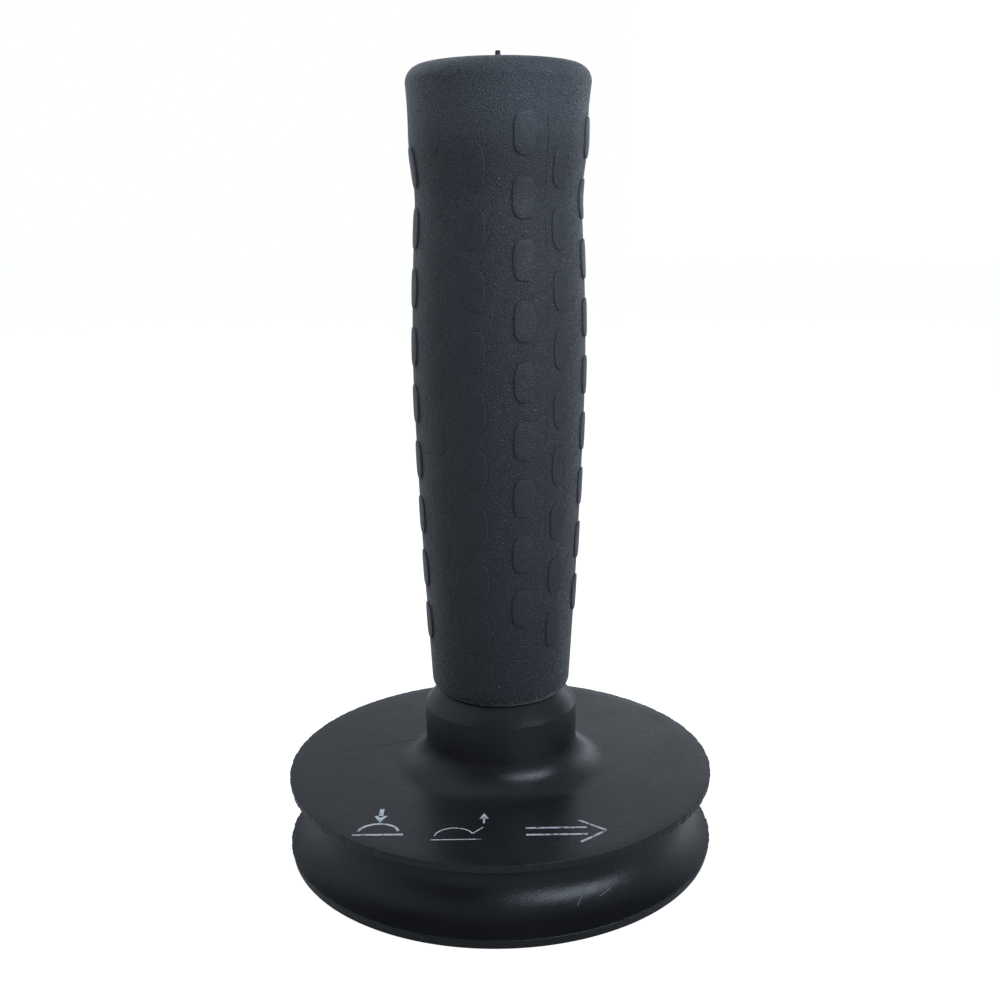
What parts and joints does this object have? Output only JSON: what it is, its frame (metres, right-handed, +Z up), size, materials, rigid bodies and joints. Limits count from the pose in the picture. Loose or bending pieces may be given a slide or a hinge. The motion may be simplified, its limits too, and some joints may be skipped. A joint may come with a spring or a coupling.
{
  "type": "standing support handle",
  "caption": "Upright black padded hand grip on a round double-flanged rubber suction base.",
  "frame": {"origin": "middle of the foot ring, on the surface that the base stands on", "axes": "+Z up along the grip, -Y towards the user and the camera, +X to the right"},
  "size_m": [0.09, 0.09, 0.1609],
  "materials": {
    "base_rubber": "satin black moulded rubber",
    "grip_vinyl": "matt black soft vinyl with a fine leather grain",
    "black_plastic": "satin black moulded plastic",
    "zinc_plated_steel": "bright zinc plating"
  },
  "bodies": {
    "base": {"suction_base": "base_rubber"},
    "handle": {"anchor_plate": "zinc_plated_steel", "anchor_stud": "zinc_plated_steel", "seat_washer": "zinc_plated_steel", "handle_tube": "zinc_plated_steel", "tube_bush": "zinc_plated_steel", "bush_screw": "zinc_plated_steel", "clamp_washer": "zinc_plated_steel", "spring_washer": "zinc_plated_steel", "clamp_nut": "zinc_plated_steel", "tube_end_plug": "black_plastic", "neck_collar": "black_plastic", "grip_sleeve": "grip_vinyl"}
  },
  "joints": [
    {"name": "press_stroke", "type": "slide", "parent": "base", "child": "handle", "axis": [0, 0, -1], "range_m": [0, 0.003], "stiffness_N_per_m": 15000, "deforming": ["suction_base"]}
  ]
}
